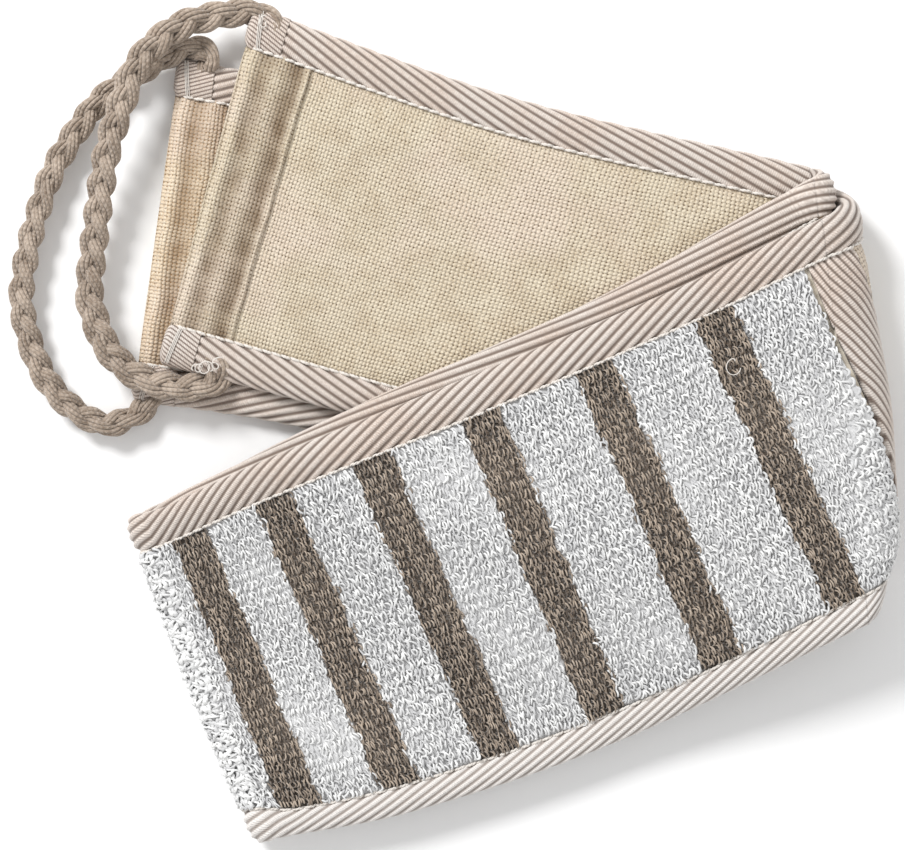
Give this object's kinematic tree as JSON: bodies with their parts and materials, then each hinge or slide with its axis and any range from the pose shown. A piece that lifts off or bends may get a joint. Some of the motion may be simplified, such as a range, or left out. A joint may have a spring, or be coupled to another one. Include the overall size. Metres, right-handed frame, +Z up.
{
  "type": "loofah back scrubber",
  "caption": "Long padded scrubbing strap with a terry middle, mesh ends, bound edges and a rope handle at each end, folded twice and laid flat.",
  "frame": {"origin": "a point on the flat underside of the strap's lower end, which rests on the ground", "axes": "+Z up, +X along the folded strap's length from the rope handles to the folds at the other side, +Y across it"},
  "size_m": [0.2524, 0.2383, 0.023],
  "materials": {
    "terry": "looped terry, white with taupe stripes",
    "linen": "open plain weave, natural",
    "foam": "soft padding",
    "twill_tape": "ribbed cotton twill",
    "thread": "twisted sewing thread",
    "rope": "braided cotton"
  },
  "bodies": {
    "strap_ends": {"upper_end_linen_panel": "linen", "upper_end_back_panel": "linen", "upper_end_foam_core": "foam", "upper_end_hem": "linen", "upper_end_binding_top": "twill_tape", "upper_end_binding_bottom": "twill_tape", "upper_end_seam_top": "thread", "upper_end_seam_bottom": "thread", "upper_end_top_corner_wrap": "twill_tape", "upper_end_bottom_corner_wrap": "twill_tape", "upper_end_top_rope_tail": "rope", "upper_end_bottom_rope_tail": "rope", "upper_end_top_bar_tack": "thread", "upper_end_bottom_bar_tack": "thread", "inner_fold_face": "linen", "inner_fold_back": "linen", "inner_fold_core": "foam", "inner_fold_binding_top": "twill_tape", "inner_fold_binding_bottom": "twill_tape", "outer_fold_face": "linen", "outer_fold_back": "linen", "outer_fold_core": "foam", "outer_fold_binding_top": "twill_tape", "outer_fold_binding_bottom": "twill_tape", "lower_end_linen_panel": "linen", "lower_end_back_panel": "linen", "lower_end_foam_core": "foam", "lower_end_hem": "linen", "lower_end_binding_top": "twill_tape", "lower_end_binding_bottom": "twill_tape", "lower_end_seam_top": "thread", "lower_end_seam_bottom": "thread", "lower_end_top_corner_wrap": "twill_tape", "lower_end_bottom_corner_wrap": "twill_tape", "lower_end_top_rope_tail": "rope", "lower_end_bottom_rope_tail": "rope", "lower_end_top_bar_tack": "thread", "lower_end_bottom_bar_tack": "thread"},
    "strap_middle": {"inner_linen_strip": "linen", "inner_cross_tape": "twill_tape", "terry_panel": "terry", "outer_cross_tape": "twill_tape", "middle_back_panel": "linen", "middle_foam_core": "foam", "middle_binding_top": "twill_tape", "middle_binding_bottom": "twill_tape", "middle_face_seam_top": "thread", "middle_face_seam_bottom": "thread", "middle_back_seam_top": "thread", "middle_back_seam_bottom": "thread"},
    "upper_handle": {"upper_rope_handle": "rope"},
    "lower_handle": {"lower_rope_handle": "rope"}
  },
  "joints": [
    {"name": "strap_fold", "type": "hinge", "parent": "strap_ends", "child": "strap_middle", "pos_m": [0.0986, -0.02575, 0.0115], "axis": [-0.1145, 0.9934, 0], "range_deg": [0, 180], "deforming": ["inner_fold_face", "inner_fold_back", "inner_fold_core", "inner_fold_binding_top", "inner_fold_binding_bottom", "outer_fold_face", "outer_fold_back", "outer_fold_core", "outer_fold_binding_top", "outer_fold_binding_bottom"]},
    {"name": "upper_handle_swing", "type": "hinge", "parent": "strap_ends", "child": "upper_handle", "pos_m": [-0.0715, 0.0855, 0.0094], "axis": [0.254, 0.9672, 0], "range_deg": [0, 90]},
    {"name": "lower_handle_swing", "type": "hinge", "parent": "strap_ends", "child": "lower_handle", "pos_m": [-0.0924, 0.0746, 0.0043], "axis": [0.1312, 0.9914, 0], "range_deg": [0, 90]}
  ],
  "couplings": [
    {"joint": "lower_handle_swing", "follows": "upper_handle_swing", "ratio": 1}
  ]
}
